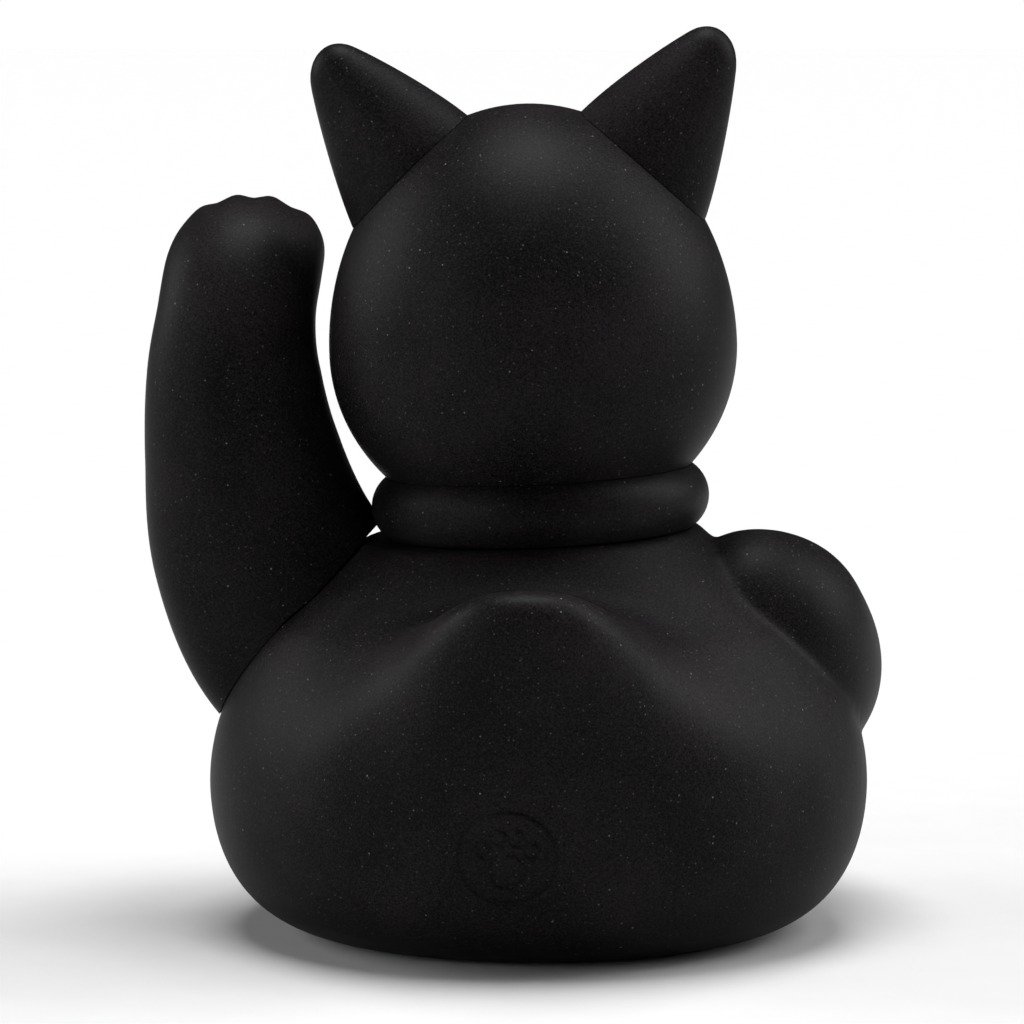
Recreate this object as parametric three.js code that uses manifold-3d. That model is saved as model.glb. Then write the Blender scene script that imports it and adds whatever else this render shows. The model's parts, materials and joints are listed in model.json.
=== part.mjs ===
// Beckoning cat figurine, 107 mm tall: hollow soft-vinyl castings, with a round body, an upturned tail,
// one arm raised beside the head and the other laid across the belly.
// Millimetres, +Z up. The cat faces -Y and its own left, the side of the raised arm, is +X.
// The origin is the middle of the flat underside, on the base plug.
import * as THREE from "three";
import { mergeVertices } from "three/addons/utils/BufferGeometryUtils.js";
import Module from "manifold-3d";

const wasm = await Module();
wasm.setup();

// ---------------------------------------------------------------- driving dimensions
const WALL = 2.2; // wall of the vinyl castings
const GAP = 0.35; // space kept between pieces that touch
const FIT = 0.3; // radial play of a plug in its hole
const BORE_REACH = 9; // a bore is cut this far to both sides of the wall that it goes through

const BODY_WIDTH = 78.6;
const BASE_RADIUS = 24.5; // flat underside
const BREAST = { swell: 0.3, height: 37, spread: 13 }; // how far the breast stands out in front
const BACK_DEPTH = 0.95; // the back is a little flatter than the sides
// Tail, the root that it grows from, and the hollow above it. Each begins at a distance behind the middle
// and is full further back.
const TAIL = { back: 8.7, up: 7.7, halfWidth: 13.1, height: 34.8, spread: 7.5, starts: 21, full: 31 };
const TAIL_ROOT = { back: 2.5, up: 2, halfWidth: 30, height: 26.4, spread: 12, starts: 21, full: 31 };
const TAIL_HOLLOW = { back: 0, up: -2.8, halfWidth: 34, height: 44, spread: 5, starts: 16, full: 26 };

// Foot of the head's axis, which leans towards the raised arm by the tilt in degrees.
const NECK = { x: -0.4, height: 47.3, tilt: 2.7, hole: 6.3, boss: 11.9, bossHeight: 2.65 };
const COLLAR = { ring: 15.7, tube: 4.4, height: 3.8, overBoss: 0.5 }; // measured up from the neck

const HEAD = { halfWidth: 24.2, widest: 22, above: 28.9, below: 22, seat: 3 };
const EAR = {
  height: 18.1,
  halfBase: 9.7,
  below: 5.5, // how far the blade is drawn below its foot, before the head cuts it
  thick: 0.78,
  thicker: 0.05, // added towards the tip
  lean: 0.155,
  rise: 42.8,
  foot: [13.6, 1.2, 43],
  aside: -0.4, // both ears sit a little off the middle, away from the raised arm
  dish: [5.6, 3.6, 8.4],
  dishAt: [-1.1, -5.6, 7.2],
};
const EAR_ROOT = { radius: 2.8, hole: 3.1, button: 4, buttonThick: 1.8, depth: 3.2, into: 5 };

// The raised arm turns on the shoulder joint, whose axis rises outwards at 45 degrees.
const SHOULDER = { x: 27.6, y: -1, z: 38, rise: 45, hole: 4.6, swing: 12 };
const ARM_CLEAR = { collar: 0.8, head: 0.8 }; // room beside the arm, so that nothing rubs as it swings
const SPOOL = { flange: 9.5, thick: 1.8 }; // neck joint
const SHOULDER_SPOOL = { flange: 6.2, thick: 1.5, inner: -1.7, outer: 4.7 };

const PLUG = { hole: 12, lip: 13.6, lipThick: 1.2, cup: 11.4, bore: 10, height: 9.4, floor: 2.4 };
const BALLAST = { radius: 9.6, from: 2.75, to: 7.4 };
const RETAINER = { radius: 9.7, hole: 3.5, thick: 1.2 };

const COIN = { x: 5, z: 27, halfWidth: 7, halfHeight: 9.4, thick: 2.4, rim: 0.5, face: 0.82, depth: 30 };
const COIN_PIN = { radius: 1.8, from: -45.5, to: -38 };
const BELL = { radius: 4.6, wall: 0.6, slot: 1, slotWidth: 11, y: -30.7, z: 49, pellet: 1.4 };
const BELL_LUG = { y: -21.2, z: 51, ring: 1.5, wire: 0.55 }; // staple moulded on the collar
const BELL_LOOP = { ring: 1.2, wire: 0.45, sunk: 0.2 };
const BELL_RING_WIRE = 0.4;

const rad = THREE.MathUtils.degToRad;
const v3 = (x, y, z) => new THREE.Vector3(x, y, z);
const bell = (x, centre, spread) => Math.exp(-(((x - centre) / spread) ** 2));

// ---------------------------------------------------------------- solids
// A closed geometry as a manifold-3d solid: shared vertices merged, slivers at a lathe's poles dropped,
// and its faces turned outwards where a mirrored frame has turned them in.
function solid(geometry) {
  const bare = geometry.index ? geometry.toNonIndexed() : geometry.clone();
  for (const name of Object.keys(bare.attributes)) {
    if (name !== "position") bare.deleteAttribute(name);
  }
  const merged = mergeVertices(bare, 1e-3);
  const corner = merged.index.array;
  const kept = [];
  for (let i = 0; i < corner.length; i += 3) {
    const [a, b, c] = [corner[i], corner[i + 1], corner[i + 2]];
    if (a !== b && b !== c && c !== a) kept.push(a, b, c);
  }
  const made = manifold(merged.attributes.position.array, kept);
  if (made.volume() > 0) return made;
  for (let i = 0; i < kept.length; i += 3) [kept[i + 1], kept[i + 2]] = [kept[i + 2], kept[i + 1]];
  return manifold(merged.attributes.position.array, kept);
}

function manifold(vertProperties, triangles) {
  return new wasm.Manifold(
    new wasm.Mesh({ numProp: 3, vertProperties, triVerts: new Uint32Array(triangles) }),
  );
}

function geometryOf(shape) {
  const mesh = shape.getMesh();
  const position = new Float32Array(mesh.numVert * 3);
  for (let i = 0; i < mesh.numVert; i++) {
    position.set(mesh.vertProperties.subarray(i * mesh.numProp, i * mesh.numProp + 3), i * 3);
  }
  const geometry = new THREE.BufferGeometry();
  geometry.setAttribute("position", new THREE.BufferAttribute(position, 3));
  geometry.setIndex(new THREE.BufferAttribute(mesh.triVerts, 1));
  geometry.computeVertexNormals();
  return geometry;
}

// Moves every vertex of a geometry to reshape(vertex).
function reshaped(geometry, reshape) {
  const position = geometry.attributes.position;
  for (let i = 0; i < position.count; i++) {
    const to = reshape(v3().fromBufferAttribute(position, i));
    position.setXYZ(i, to.x, to.y, to.z);
  }
  return geometry;
}

// A shape turned about Z from an outline of [radius, height] points or a Path.
function turned(outline, sides, stepsPerCurve = 6) {
  const points = Array.isArray(outline)
    ? outline.map(([r, z]) => new THREE.Vector2(r, z))
    : outline.getPoints(stepsPerCurve);
  for (const p of points) if (Math.abs(p.x) < 1e-6) p.x = 0;
  return new THREE.LatheGeometry(points, sides).rotateX(Math.PI / 2);
}

const placed = (geometry, ...matrices) => {
  for (const m of matrices) geometry.applyMatrix4(m);
  return geometry;
};

// ---------------------------------------------------------------- shapes shared by several pieces
// Half of the body's outline, from the middle of the underside up to under the collar.
function bodyOutline(inset) {
  const side = BODY_WIDTH / 2 - inset;
  const outline = new THREE.Path();
  outline.moveTo(0, inset);
  outline.lineTo(BASE_RADIUS / 2, inset);
  outline.lineTo(BASE_RADIUS - inset / 2, inset);
  outline.bezierCurveTo(32.6 - inset, 0.2 + inset, side - 0.2, 5.8, side, 17.5);
  outline.bezierCurveTo(side, 24, side - 2.6, 30.6, 31.6 - inset, 36.6 - inset / 3);
  const top = 50.9 - inset;
  outline.bezierCurveTo(27.6 - inset, 40.3 - inset / 3, 20.7 - inset, top - 4.3, 16 - inset, top);
  outline.lineTo(0, top);
  return outline;
}

// The breast stands forward of the turned shape, and the tail is drawn out backwards and up, with a
// hollow between it and the back. They fade out sideways by a cubed power, which keeps their middle broad.
const fadeAside = (x, halfWidth) => Math.exp(-(Math.abs(x / halfWidth) ** 3));
function breastAndTail(p) {
  if (p.y < 0) {
    p.y *= 1 + BREAST.swell * bell(p.z, BREAST.height, BREAST.spread);
    return p;
  }
  p.y *= BACK_DEPTH;
  const moved = p.clone();
  for (const { back, up, halfWidth, height, spread, starts, full } of [TAIL, TAIL_ROOT, TAIL_HOLLOW]) {
    const share =
      THREE.MathUtils.smoothstep(p.y, starts, full) * fadeAside(p.x, halfWidth) * bell(p.z, height, spread);
    moved.y += back * share;
    moved.z += up * share;
  }
  return moved;
}

const bodyShape = (inset, sides = 36, steps = 6) =>
  reshaped(turned(bodyOutline(inset), sides, steps), breastAndTail);
const bodyForm = (inset, sides, steps) => solid(bodyShape(inset, sides, steps));

const smoothCurve = (points) => new THREE.CatmullRomCurve3(points, false, "catmullrom", 0.5);

// A limb with round ends, along stations {at, wide, deep}: half-sizes along the direction `side` and square
// to it. The ends round off late, which leaves the limb full along its length.
const LATE = 3;
function limb(stations, side, sides, rings, grow = 0) {
  const centre = smoothCurve(stations.map((s) => v3(...s.at)));
  const girth = smoothCurve(stations.map((s) => v3(s.wide, s.deep, 0)));
  const form = new THREE.SphereGeometry(1, sides, rings);
  return reshaped(form, (p) => {
    const along = THREE.MathUtils.clamp((1 - p.y) / 2, 0, 1);
    const around = Math.atan2(p.z, p.x);
    const fromMiddle = Math.min(Math.abs(p.y), 1);
    const round = fromMiddle > 0.9999 ? 0 : (1 - fromMiddle ** LATE) ** (1 / LATE);
    const tangent = centre.getTangent(along);
    const across = side.clone().addScaledVector(tangent, -side.dot(tangent)).normalize();
    const out = across.clone().cross(tangent).normalize();
    const half = girth.getPoint(along);
    return centre
      .getPoint(along)
      .addScaledVector(across, Math.cos(around) * (half.x + grow) * round)
      .addScaledVector(out, Math.sin(around) * (half.y + grow) * round);
  });
}

// ---------------------------------------------------------------- the neck's own frame
// Head, ears and collar are drawn about a vertical axis from the neck, which then leans by the tilt.
const neckFrame = new THREE.Matrix4()
  .makeTranslation(NECK.x, 0, NECK.height)
  .multiply(new THREE.Matrix4().makeRotationY(rad(NECK.tilt)));

// Slab that covers everything above (or below) a height of the neck's frame.
function neckSlab(from, upwards) {
  const wide = 160;
  const tall = 120;
  const slab = new THREE.BoxGeometry(wide, wide, tall);
  slab.translate(0, 0, from + (upwards ? tall / 2 : -tall / 2));
  return solid(placed(slab, neckFrame));
}

function headOutline(inset, grow = 0) {
  const wide = HEAD.halfWidth - inset + grow;
  const above = HEAD.above - inset + grow;
  const below = HEAD.below - inset + grow;
  const outline = [];
  const steps = inset ? 12 : 20;
  for (let i = 0; i <= steps; i++) {
    const angle = -Math.PI / 2 + (Math.PI * i) / steps;
    const up = Math.sin(angle);
    outline.push([wide * Math.cos(angle), HEAD.widest + (up > 0 ? above : below) * up]);
  }
  return outline;
}

// The muzzle: two whisker pads, a chin and a small nose, raised from the front of the head.
const MUZZLE = [
  { x: 4.2, z: 15.8, rise: 2.6, spread: 5.2 },
  { x: -4.2, z: 15.8, rise: 2.6, spread: 5.2 },
  { x: 0, z: 12.2, rise: 1.2, spread: 3.6 },
  { x: 0, z: 19.6, rise: 1.1, spread: 2.6 },
];
function muzzle(p) {
  if (p.y > 0) return p;
  const seatFade = THREE.MathUtils.smoothstep(p.z, 8.5, 11.5);
  for (const pad of MUZZLE) {
    const near = Math.exp(-((p.x - pad.x) ** 2 + (p.z - pad.z) ** 2) / pad.spread ** 2);
    p.y -= pad.rise * near * seatFade;
  }
  return p;
}

const headForm = (inset, grow, sides = 36) =>
  solid(placed(reshaped(turned(headOutline(inset, grow), sides), muzzle), neckFrame));

// ---------------------------------------------------------------- shoulder joint's frame: +Z along the axis
const shoulderFrame = new THREE.Matrix4()
  .makeTranslation(SHOULDER.x, SHOULDER.y, SHOULDER.z)
  .multiply(new THREE.Matrix4().makeRotationY(rad(90 - SHOULDER.rise)));

const pinAt = (frame, radius, from, to, sides = 24) =>
  solid(
    placed(
      new THREE.CylinderGeometry(radius, radius, to - from, sides)
        .rotateX(Math.PI / 2)
        .translate(0, 0, (from + to) / 2),
      frame,
    ),
  );
const bore = (frame, radius, sides) => pinAt(frame, radius, -BORE_REACH, BORE_REACH, sides);

const UPRIGHT = new THREE.Matrix4(); // the part's own frame

// ---------------------------------------------------------------- limbs
const SIDEWAYS = v3(1, 0, 0);
const UPWARD = v3(0, 0, 1);
const RAISED_ARM = [
  { at: [14, -1, 14], wide: 14, deep: 9 },
  { at: [21, -1, 25], wide: 15.2, deep: 9 },
  { at: [27.8, -1, 35.2], wide: 15.8, deep: 10 },
  { at: [33, -1, 46], wide: 13.9, deep: 10.4 },
  { at: [35.5, -1, 57], wide: 11.7, deep: 10 },
  { at: [36.4, -1.2, 66], wide: 10.4, deep: 9.2 },
  { at: [36.1, -2, 73], wide: 9.5, deep: 8.4 },
  { at: [35.5, -5.3, 78.2], wide: 9.6, deep: 7.6 },
  { at: [35.1, -11, 80.2], wide: 9.7, deep: 7 },
  { at: [34.6, -17.4, 78.2], wide: 9.4, deep: 6.6 },
  { at: [34.2, -21.4, 73.4], wide: 8.4, deep: 5.6 },
];
const LOWERED_ARM = [
  { at: [-13, 3, 34], wide: 9, deep: 10 },
  { at: [-24, 2, 36.2], wide: 13.2, deep: 12.2 },
  { at: [-28.8, -4, 31.6], wide: 14.2, deep: 11.9 },
  { at: [-29.8, -16, 28.5], wide: 11, deep: 10.8 },
  { at: [-25.2, -29.2, 26.5], wide: 8.8, deep: 9.2 },
  { at: [-14.6, -38.4, 27], wide: 7.4, deep: 7.8 },
  { at: [-4.5, -43.2, 27.5], wide: 6, deep: 6.8 },
];

// ---------------------------------------------------------------- pieces
const finish = (name, color, roughness, metalness = 0) =>
  new THREE.MeshStandardMaterial({ name, color, roughness, metalness });
const vinyl = finish("black vinyl", 0x1b1a1c, 0.62);
const gilt = finish("gilt", 0xb08d4a, 0.38, 1);
const steel = finish("steel", 0x8d9094, 0.45, 1);
const hardPlastic = finish("hard plastic", 0x2a2a2c, 0.5);

const figurine = new THREE.Group();
function piece(name, shape, material) {
  const mesh = new THREE.Mesh(geometryOf(shape), material);
  mesh.name = name;
  figurine.add(mesh);
}

const ring = (radius, wire, sides, steps) => new THREE.TorusGeometry(radius, wire, sides, steps);
const ball = (radius, sides) => new THREE.SphereGeometry(radius, sides, Math.round(sides * 0.7));

// Coin: an oval plate with a raised rim that lies along the belly, where a pin holds it.
function coinForm(grow, scale = 1) {
  const wide = (COIN.halfWidth + grow) * scale;
  const high = (COIN.halfHeight + grow) * scale;
  const outline = new THREE.Shape();
  outline.absellipse(0, 0, wide, high, 0, Math.PI * 2);
  const options = { depth: COIN.depth, bevelEnabled: false, curveSegments: 14 };
  const column = new THREE.ExtrudeGeometry(outline, options);
  return solid(column.rotateX(Math.PI / 2).translate(COIN.x, -COIN.depth, COIN.z));
}
function coinPin(radius) {
  const pin = new THREE.CylinderGeometry(radius, radius, COIN_PIN.to - COIN_PIN.from, 20);
  return solid(pin.translate(COIN.x, (COIN_PIN.from + COIN_PIN.to) / 2, COIN.z));
}
const coinFace = coinForm(0, COIN.face).subtract(bodyForm(-GAP - COIN.thick + COIN.rim));
const coin = coinForm(0)
  .intersect(bodyForm(-GAP - COIN.thick))
  .subtract(coinFace)
  .subtract(bodyForm(-GAP))
  .add(coinPin(COIN_PIN.radius));
piece("coin", coin, gilt);

// Body casting: back, breast, tail and the lowered arm in one, open at the base, neck, shoulder and coin.
const coinRoom = coinForm(GAP).intersect(bodyForm(-2 * GAP - COIN.thick));
const loweredArm = solid(limb(LOWERED_ARM, UPWARD, 16, 18)).subtract(coinRoom);
const bodyHollow = bodyForm(WALL, 24, 3).subtract(neckSlab(-WALL, true));
const bodyShell = bodyForm(0)
  .add(loweredArm)
  .subtract(neckSlab(0, true))
  .add(pinAt(neckFrame, NECK.boss, -1, NECK.bossHeight, 32))
  .subtract(bodyHollow)
  .subtract(bore(UPRIGHT, PLUG.hole, 32))
  .subtract(bore(neckFrame, NECK.hole, 28))
  .subtract(bore(shoulderFrame, SHOULDER.hole, 24))
  .subtract(coinPin(COIN_PIN.radius + FIT));
piece("body_shell", bodyShell, vinyl);

// Head casting: egg-shaped, with a muzzle, open below for the neck joint and above for the ears' roots.
const earFrame = (side) =>
  neckFrame
    .clone()
    .multiply(new THREE.Matrix4().makeTranslation(EAR.aside, 0, 0))
    .multiply(new THREE.Matrix4().makeScale(side, 1, 1))
    .multiply(new THREE.Matrix4().makeTranslation(...EAR.foot))
    .multiply(new THREE.Matrix4().makeRotationY(rad(EAR.rise)));
const headHollow = headForm(WALL, 0, 20).subtract(neckSlab(HEAD.seat + WALL, false));
const headShell = headForm(0, 0)
  .subtract(neckSlab(HEAD.seat, false))
  .subtract(headHollow)
  .subtract(bore(neckFrame, NECK.hole, 28))
  .subtract(bore(earFrame(1), EAR_ROOT.hole, 20))
  .subtract(bore(earFrame(-1), EAR_ROOT.hole, 20));
piece("head_shell", headShell, vinyl);

// Ears: solid castings dished in front, each with a root and a button that snap through the head's wall.
function ear(side) {
  const outline = new THREE.Path();
  outline.moveTo(0, -EAR.below);
  outline.lineTo(EAR.halfBase + 0.3, -EAR.below);
  outline.lineTo(EAR.halfBase, 0);
  outline.bezierCurveTo(EAR.halfBase - 1.2, 5, 5.2, 12.5, 3.9, 15);
  outline.bezierCurveTo(2.9, 17.3, 1.4, EAR.height, 0, EAR.height);
  const leaf = reshaped(turned(outline, 20, 5), (p) =>
    v3(
      p.x - EAR.lean * Math.max(p.z, 0),
      p.y * (EAR.thick + (EAR.thicker * p.z) / EAR.height),
      p.z,
    ),
  );
  const dish = ball(1, 16)
    .rotateX(Math.PI / 2)
    .scale(...EAR.dish)
    .translate(...EAR.dishAt);
  const frame = earFrame(side);
  const { radius, button, buttonThick, depth, into } = EAR_ROOT;
  return solid(placed(leaf, frame))
    .subtract(solid(placed(dish, frame)))
    .subtract(headForm(0, GAP))
    .add(pinAt(frame, radius, buttonThick / 2 - depth, into, 18))
    .add(pinAt(frame, button, -depth, buttonThick - depth, 18));
}
piece("left_ear", ear(1), vinyl);
piece("right_ear", ear(-1), vinyl);

// Collar: a soft ring nested between the head and the body's shoulders, with a staple in front for the bell.
function collarForm(grow) {
  const form = ring(COLLAR.ring, COLLAR.tube + grow, 12, 40).translate(0, 0, COLLAR.height);
  return solid(placed(form, neckFrame));
}
const lug = ring(BELL_LUG.ring, BELL_LUG.wire, 8, 16).rotateY(Math.PI / 2);
lug.translate(NECK.x, BELL_LUG.y, BELL_LUG.z);
const collar = collarForm(0)
  .add(solid(lug))
  .subtract(headForm(0, GAP))
  .subtract(neckSlab(GAP, false))
  .subtract(bore(neckFrame, NECK.boss + COLLAR.overBoss, 32));
piece("collar", collar, vinyl);

// Raised arm: a hollow casting that sits on the shoulder, with room to swing both ways over the body's curve.
const shoulderTurn = (degrees) =>
  shoulderFrame
    .clone()
    .multiply(new THREE.Matrix4().makeRotationZ(rad(degrees)))
    .multiply(shoulderFrame.clone().invert());
const HOLLOW_STATIONS = 8; // the paw's last stations are solid
const armHollow = solid(limb(RAISED_ARM.slice(0, HOLLOW_STATIONS), SIDEWAYS, 14, 14, -WALL)).subtract(
  bodyForm(-GAP - WALL),
);
const headRoom = solid(placed(turned(headOutline(0, ARM_CLEAR.head), 36), neckFrame));
let raisedArm = solid(limb(RAISED_ARM, SIDEWAYS, 20, 26));
for (const degrees of [-SHOULDER.swing, 0, SHOULDER.swing]) {
  raisedArm = raisedArm.subtract(solid(placed(bodyShape(-GAP), shoulderTurn(degrees))));
}
raisedArm = raisedArm
  .subtract(collarForm(ARM_CLEAR.collar))
  .subtract(headRoom)
  .subtract(armHollow)
  .subtract(bore(shoulderFrame, SHOULDER.hole, 24));
piece("raised_arm", raisedArm, vinyl);

// Neck and shoulder joints: hard spools whose flanges are pushed through the soft walls that turn on them.
const neckSpool = [
  [0, -WALL - FIT - SPOOL.thick],
  [SPOOL.flange, -WALL - FIT - SPOOL.thick],
  [SPOOL.flange, -WALL - FIT],
  [NECK.hole - FIT, -WALL - FIT],
  [NECK.hole - FIT, HEAD.seat + WALL + FIT],
  [SPOOL.flange, HEAD.seat + WALL + FIT],
  [SPOOL.flange, HEAD.seat + WALL + FIT + SPOOL.thick],
  [0, HEAD.seat + WALL + FIT + SPOOL.thick],
];
piece("neck_joint", solid(placed(turned(neckSpool, 28), neckFrame)), hardPlastic);

const { flange, thick, inner, outer } = SHOULDER_SPOOL;
const shoulderSpool = [
  [0, inner - thick],
  [flange, inner - thick],
  [flange, inner],
  [SHOULDER.hole - FIT, inner],
  [SHOULDER.hole - FIT, outer],
  [flange, outer],
  [flange, outer + thick],
  [0, outer + thick],
];
piece("shoulder_joint", solid(placed(turned(shoulderSpool, 24), shoulderFrame)), hardPlastic);

// Base plug: closes the casting's filling hole flush with the underside and carries the ballast in a cup.
const plugOutline = [
  [0, 0],
  [PLUG.hole - FIT, 0],
  [PLUG.hole - FIT, WALL + FIT],
  [PLUG.lip, WALL + FIT],
  [PLUG.lip, WALL + FIT + PLUG.lipThick],
  [PLUG.cup, WALL + FIT + PLUG.lipThick],
  [PLUG.cup, PLUG.height],
  [PLUG.bore, PLUG.height],
  [PLUG.bore, PLUG.floor],
  [0, PLUG.floor],
];
piece("base_plug", solid(turned(plugOutline, 32)), vinyl);
piece("ballast_weight", pinAt(UPRIGHT, BALLAST.radius, BALLAST.from, BALLAST.to, 32), steel);
const retainerOutline = [
  [RETAINER.hole, BALLAST.to + GAP],
  [RETAINER.radius, BALLAST.to + GAP],
  [RETAINER.radius, BALLAST.to + GAP + RETAINER.thick],
  [RETAINER.hole, BALLAST.to + GAP + RETAINER.thick],
  [RETAINER.hole, BALLAST.to + GAP],
];
piece("weight_retainer", solid(turned(retainerOutline, 32)), hardPlastic);

// Bell: a thin round shell with a sounding slot, a loop towards the collar and a loose pellet inside.
const lugToBell = v3(0, BELL.y - BELL_LUG.y, BELL.z - BELL_LUG.z);
const bellFrame = new THREE.Matrix4()
  .makeTranslation(NECK.x, BELL.y, BELL.z)
  .multiply(new THREE.Matrix4().makeRotationX(Math.atan2(lugToBell.y, -lugToBell.z)));
const loopHeight = BELL.radius + BELL_LOOP.ring - BELL_LOOP.sunk;
const bellLoop = ring(BELL_LOOP.ring, BELL_LOOP.wire, 8, 16)
  .rotateY(Math.PI / 2)
  .translate(0, 0, loopHeight);
const bellSlot = new THREE.BoxGeometry(BELL.slotWidth, BELL.slot, BELL.radius);
bellSlot.translate(0, 0, -BELL.radius);
const bellShell = solid(placed(ball(BELL.radius, 24), bellFrame))
  .add(solid(placed(bellLoop, bellFrame)))
  .subtract(solid(placed(ball(BELL.radius - BELL.wall, 18), bellFrame)))
  .subtract(solid(placed(bellSlot, bellFrame)));
piece("bell", bellShell, gilt);
const ringRadius = (lugToBell.length() - loopHeight) / 2;
const bellRing = ring(ringRadius, BELL_RING_WIRE, 8, 18)
  .rotateX(Math.PI / 2)
  .translate(0, 0, loopHeight + ringRadius);
piece("bell_ring", solid(placed(bellRing, bellFrame)), gilt);
const pelletDrop = BELL.radius - BELL.wall - BELL.pellet - GAP;
const pellet = ball(BELL.pellet, 14).translate(NECK.x, BELL.y, BELL.z - pelletDrop);
piece("bell_pellet", solid(pellet), steel);

export default figurine;
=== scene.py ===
import json
import math

import bmesh
import bpy
from mathutils import Matrix, Vector


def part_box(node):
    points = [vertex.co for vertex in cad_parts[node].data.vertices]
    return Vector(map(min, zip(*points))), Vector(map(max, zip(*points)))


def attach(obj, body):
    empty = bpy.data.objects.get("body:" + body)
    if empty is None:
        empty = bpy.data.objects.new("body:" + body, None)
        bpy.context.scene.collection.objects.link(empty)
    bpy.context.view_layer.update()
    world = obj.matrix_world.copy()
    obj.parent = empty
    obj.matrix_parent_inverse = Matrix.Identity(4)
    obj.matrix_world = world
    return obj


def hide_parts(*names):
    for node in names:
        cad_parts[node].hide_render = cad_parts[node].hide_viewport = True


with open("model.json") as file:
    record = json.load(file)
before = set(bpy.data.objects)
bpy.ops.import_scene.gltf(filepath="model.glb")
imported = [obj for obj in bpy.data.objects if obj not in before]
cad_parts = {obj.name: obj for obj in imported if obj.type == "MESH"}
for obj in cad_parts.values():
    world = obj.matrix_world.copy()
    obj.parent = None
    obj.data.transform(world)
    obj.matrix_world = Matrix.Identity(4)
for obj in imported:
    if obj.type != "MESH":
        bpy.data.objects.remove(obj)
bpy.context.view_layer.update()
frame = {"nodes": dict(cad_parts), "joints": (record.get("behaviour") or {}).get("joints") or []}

# Beckoning cat figurine: hollow castings in black soft-touch vinyl, with gilt eyes, ears, coin and bell.
# Shapes are worked out in millimetres, in the frame's axes, and become metres when a piece is made.
MM = 0.001
JOINTS = {joint["name"]: joint for joint in frame["joints"]}

# ------------------------------------------------------------------ driving dimensions, in mm
WALL = 2.2
SEAM = 0.08  # space left at a line where two castings meet
BODY_WIDTH = 78.6
BASE_RADIUS = 24.5
BREAST = {"swell": 0.3, "height": 37, "spread": 13}
BACK_DEPTH = 0.95  # the back is a little flatter than the sides
# Tail, the root that it grows from, and the hollow above it.
TAIL = (
    {"back": 8.7, "up": 8.4, "half_width": 13.1, "height": 34.8, "spread": 7.5, "starts": 21, "full": 31},
    {"back": 2.5, "up": 2, "half_width": 30, "height": 26.4, "spread": 12, "starts": 21, "full": 31},
    {"back": 0, "up": -1.5, "half_width": 34, "height": 44, "spread": 5, "starts": 16, "full": 26},
)
HEAD = {"half_width": 24.2, "widest": 22, "above": 28.9, "below": 22, "seat": 3}
COLLAR = {"ring": 15.7, "tube": 4.4, "height": 3.8, "over_boss": 0.5}
NECK = {"hole": 6.3, "boss": 11.9, "boss_height": 2.65}
EAR = {
    "height": 18.1,
    "half_base": 9.7,
    "below": 5.5,  # how far the blade is drawn below its foot, before the head cuts it
    "thick": 0.78,
    "thicker": 0.05,  # added towards the tip
    "lean": 0.155,
    "rise": 42.8,
    "foot": (13.6, 1.2, 43),
    "aside": -0.4,  # both ears sit a little off the middle, away from the raised arm
    "rim": 1.1,  # black rim left around the gold lining
}
EAR_DISH = {"size": (5.6, 3.6, 8.4), "at": (-1.1, -5.6, 7.2)}
EAR_HOLE = 3.1
EAR_ROOT = {"radius": 2.8, "button": 4, "button_thick": 1.8, "depth": 3.2}
SHOULDER_HOLE = 4.6
SWING = 12  # degrees that the raised arm turns each way
HOLLOW_STATIONS = 8  # the raised arm is hollow over this many stations, and its paw is solid
HEAD_ROOM = 0.6  # room between the raised arm and the head
SKIRT = 0.3  # the hollow stops this far short of the wall that stands on the shoulder
MUZZLE = (
    {"x": 4.2, "z": 15.8, "rise": 2.6, "spread": 5.2},
    {"x": -4.2, "z": 15.8, "rise": 2.6, "spread": 5.2},
    {"x": 0, "z": 12.2, "rise": 1.2, "spread": 3.6},
    {"x": 0, "z": 19.6, "rise": 1.1, "spread": 2.6},
)
MUZZLE_FADE = (8.5, 11.5)  # heights between which the muzzle rises out of the head
# Limbs: middle of each section, its half-size along the limb's side direction, and the one square to it.
RAISED_ARM = (
    ((14, -1, 14), 14, 9),
    ((21, -1, 25), 15.2, 9),
    ((27.8, -1, 35.2), 15.8, 10),
    ((33, -1, 46), 13.9, 10.4),
    ((35.5, -1, 57), 11.7, 10),
    ((36.4, -1.2, 66), 10.4, 9.2),
    ((36.1, -2, 73), 9.5, 8.4),
    ((35.5, -5.3, 78.2), 9.6, 7.6),
    ((35.1, -11, 80.2), 9.7, 7),
    ((34.6, -17.4, 78.2), 9.4, 6.6),
    ((34.2, -21.4, 73.4), 8.4, 5.6),
)
LOWERED_ARM = (
    ((-13, 3, 34), 9, 10),
    ((-24, 2, 36.2), 13.2, 12.2),
    ((-28.8, -4, 31.6), 14.2, 11.9),
    ((-29.8, -16, 28.5), 11, 10.8),
    ((-25.2, -29.2, 26.5), 8.8, 9.2),
    ((-14.6, -38.4, 27), 7.4, 7.8),
    ((-4.5, -43.2, 27.5), 6, 6.8),
)
SIDEWAYS = Vector((1, 0, 0))
UPWARD = Vector((0, 0, 1))


def bell_curve(x, centre, spread):
    return math.exp(-(((x - centre) / spread) ** 2))


def smoothstep(x, low, high):
    t = min(max((x - low) / (high - low), 0), 1)
    return t * t * (3 - 2 * t)


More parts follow.
